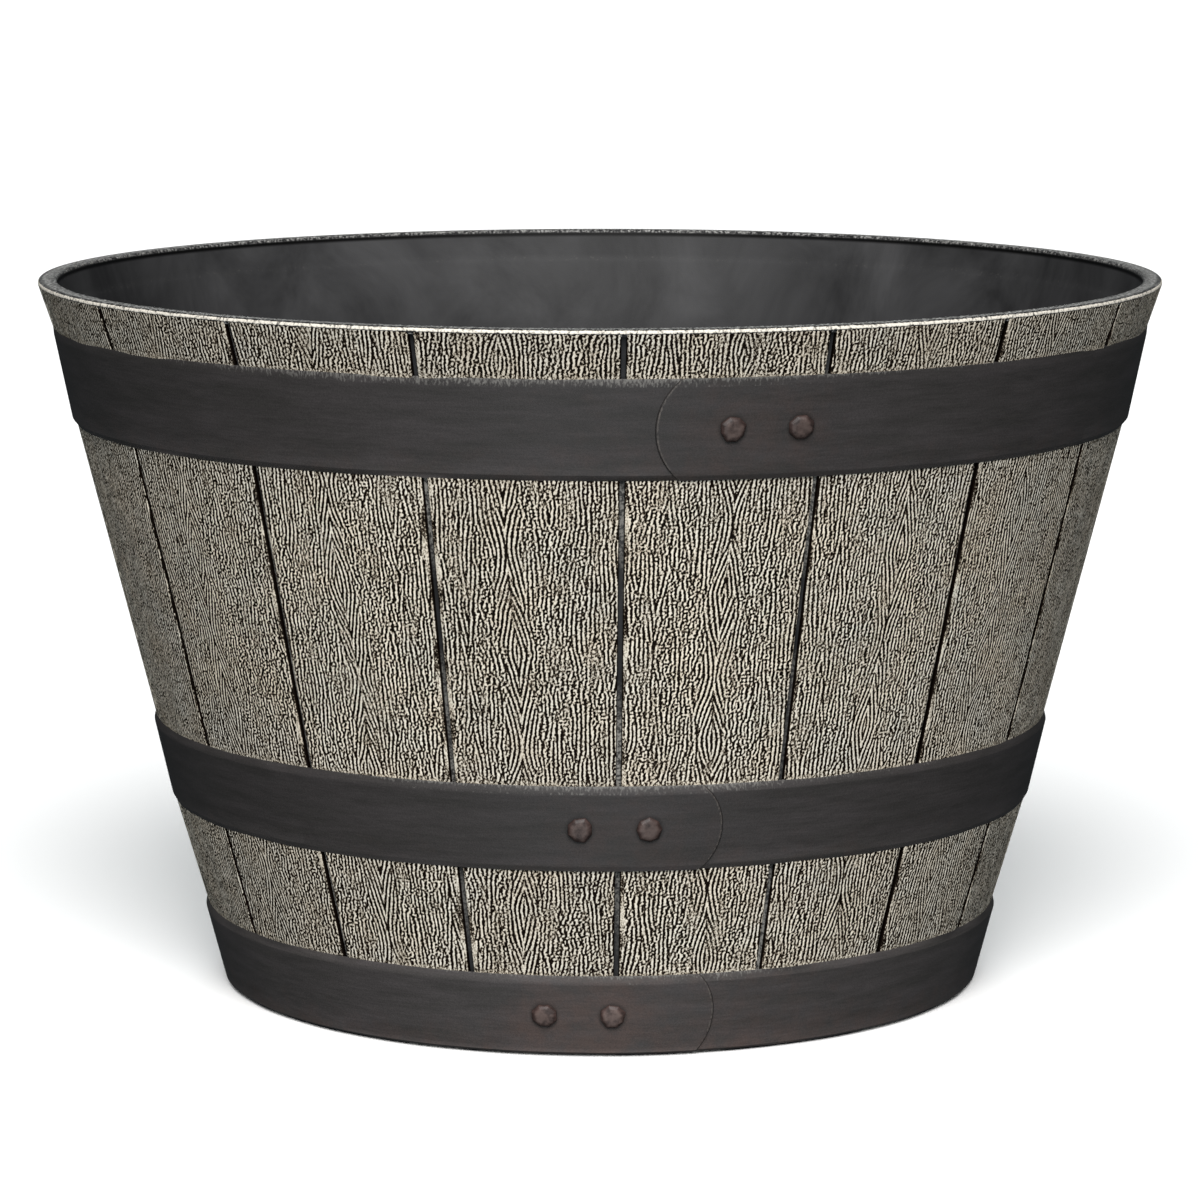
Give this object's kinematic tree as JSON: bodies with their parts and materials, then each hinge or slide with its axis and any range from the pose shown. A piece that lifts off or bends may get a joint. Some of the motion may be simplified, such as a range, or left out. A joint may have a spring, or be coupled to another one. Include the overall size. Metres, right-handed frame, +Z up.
{
  "type": "resin whiskey barrel planter",
  "caption": "Half-barrel planter moulded with wood-grain staves, flat hoops closed by riveted laps, an open top and drain holes with pull-out plugs.",
  "frame": {"origin": "centre of the foot ring on the ground plane", "axes": "+Z up along the barrel's axis, -Y towards the front, where the riveted laps are"},
  "size_m": [0.5199, 0.52, 0.33],
  "materials": {
    "weathered_resin": "moulded wood grain, weathered grey-brown paint wiped over black",
    "hoop_resin": "charcoal with a dry-brushed rusty brown tint",
    "rivet_resin": "charcoal with a rusty brown tint",
    "plug_rubber": "matt black"
  },
  "bodies": {
    "barrel": {"barrel_shell": "weathered_resin", "upper_hoop": "hoop_resin", "middle_hoop": "hoop_resin", "lower_hoop": "hoop_resin", "upper_rivets": "rivet_resin", "middle_rivets": "rivet_resin", "lower_rivets": "rivet_resin"},
    "plug_1": {"drain_plug_1": "plug_rubber"},
    "plug_2": {"drain_plug_2": "plug_rubber"},
    "plug_3": {"drain_plug_3": "plug_rubber"},
    "plug_4": {"drain_plug_4": "plug_rubber"}
  },
  "joints": [
    {"name": "plug_1_lift", "type": "slide", "parent": "barrel", "child": "plug_1", "axis": [0, 0, 1], "range_m": [0, 0.335]},
    {"name": "plug_2_lift", "type": "slide", "parent": "barrel", "child": "plug_2", "axis": [0, 0, 1], "range_m": [0, 0.335]},
    {"name": "plug_3_lift", "type": "slide", "parent": "barrel", "child": "plug_3", "axis": [0, 0, 1], "range_m": [0, 0.335]},
    {"name": "plug_4_lift", "type": "slide", "parent": "barrel", "child": "plug_4", "axis": [0, 0, 1], "range_m": [0, 0.335]}
  ]
}
